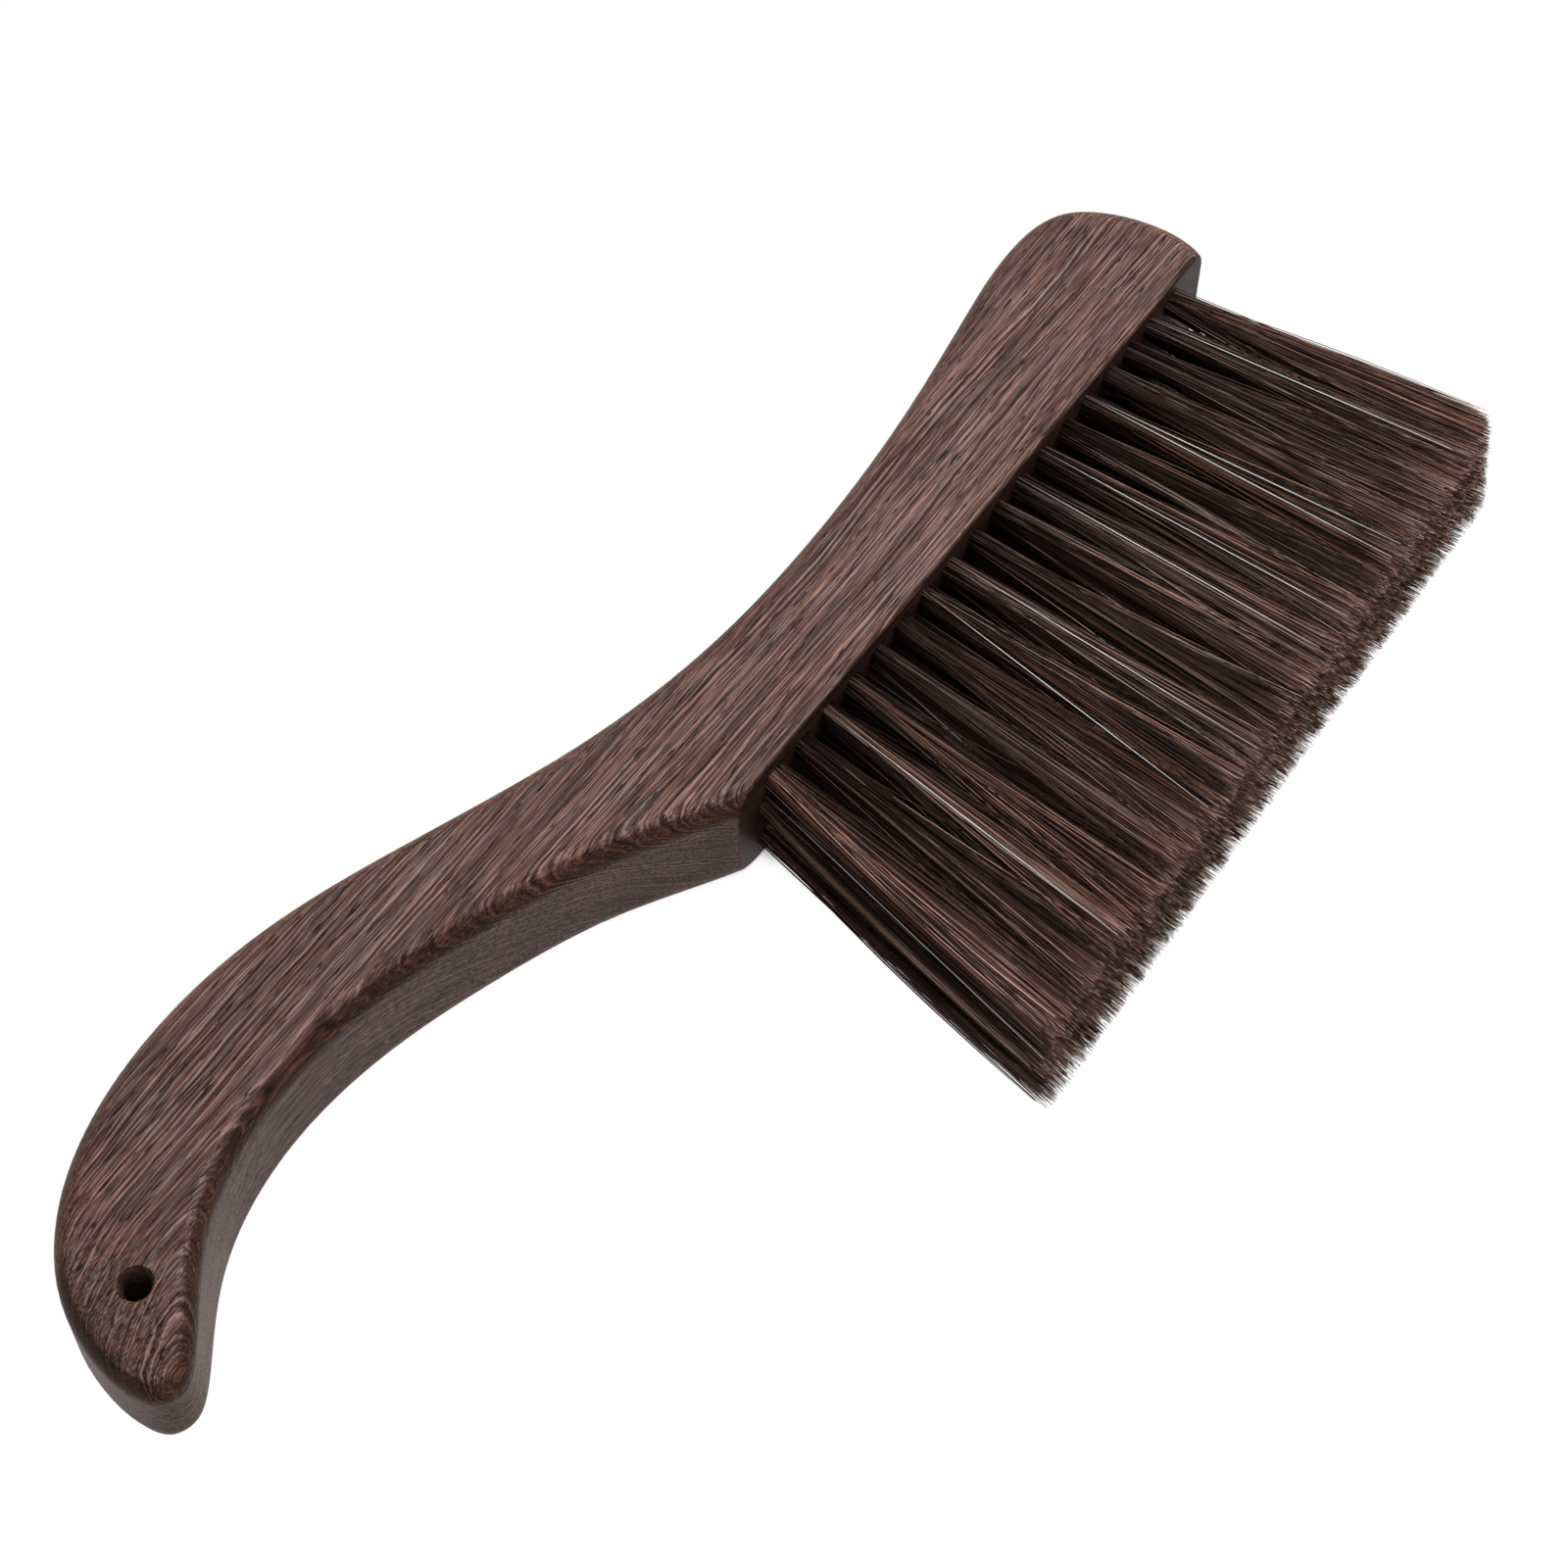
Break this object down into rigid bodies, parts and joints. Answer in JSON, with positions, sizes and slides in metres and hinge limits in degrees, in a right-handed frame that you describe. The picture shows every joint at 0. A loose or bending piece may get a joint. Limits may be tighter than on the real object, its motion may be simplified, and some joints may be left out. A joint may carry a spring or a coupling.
{
  "type": "neck duster brush",
  "caption": "Barber's neck duster: S-curved dark wooden handle with a hanging hole and staggered rows of long soft leaning brown filament tufts along one edge.",
  "frame": {"origin": "centre of the plan bounding box, on the flat back face the brush lies on", "axes": "+X along the tuft rows from the head end to the butt of the handle, +Y out of the bristle face along the filaments, +Z from the back face to the front face"},
  "size_m": [0.3173, 0.1314, 0.025],
  "materials": {
    "wood": "satin oiled",
    "filament": "soft satin fibre",
    "anchor_steel": "flat drawn wire"
  },
  "bodies": {
    "root": {"back_tufts_01": "filament", "back_tufts_02": "filament", "back_tufts_03": "filament", "back_tufts_04": "filament", "back_tufts_05": "filament", "back_tufts_06": "filament", "back_tufts_07": "filament", "back_tufts_08": "filament", "back_tufts_09": "filament", "back_tufts_10": "filament", "back_tufts_11": "filament", "back_tufts_12": "filament", "back_tufts_13": "filament", "back_tufts_14": "filament", "back_tufts_15": "filament", "back_tufts_16": "filament", "back_tufts_17": "filament", "back_tufts_18": "filament", "back_tufts_19": "filament", "front_tufts_01": "filament", "front_tufts_02": "filament", "front_tufts_03": "filament", "front_tufts_04": "filament", "front_tufts_05": "filament", "front_tufts_06": "filament", "front_tufts_07": "filament", "front_tufts_08": "filament", "front_tufts_09": "filament", "front_tufts_10": "filament", "front_tufts_11": "filament", "front_tufts_12": "filament", "front_tufts_13": "filament", "front_tufts_14": "filament", "front_tufts_15": "filament", "front_tufts_16": "filament", "front_tufts_17": "filament", "front_tufts_18": "filament", "front_tufts_19": "filament", "handle_block": "wood", "wire_anchors": "anchor_steel"}
  },
  "joints": []
}
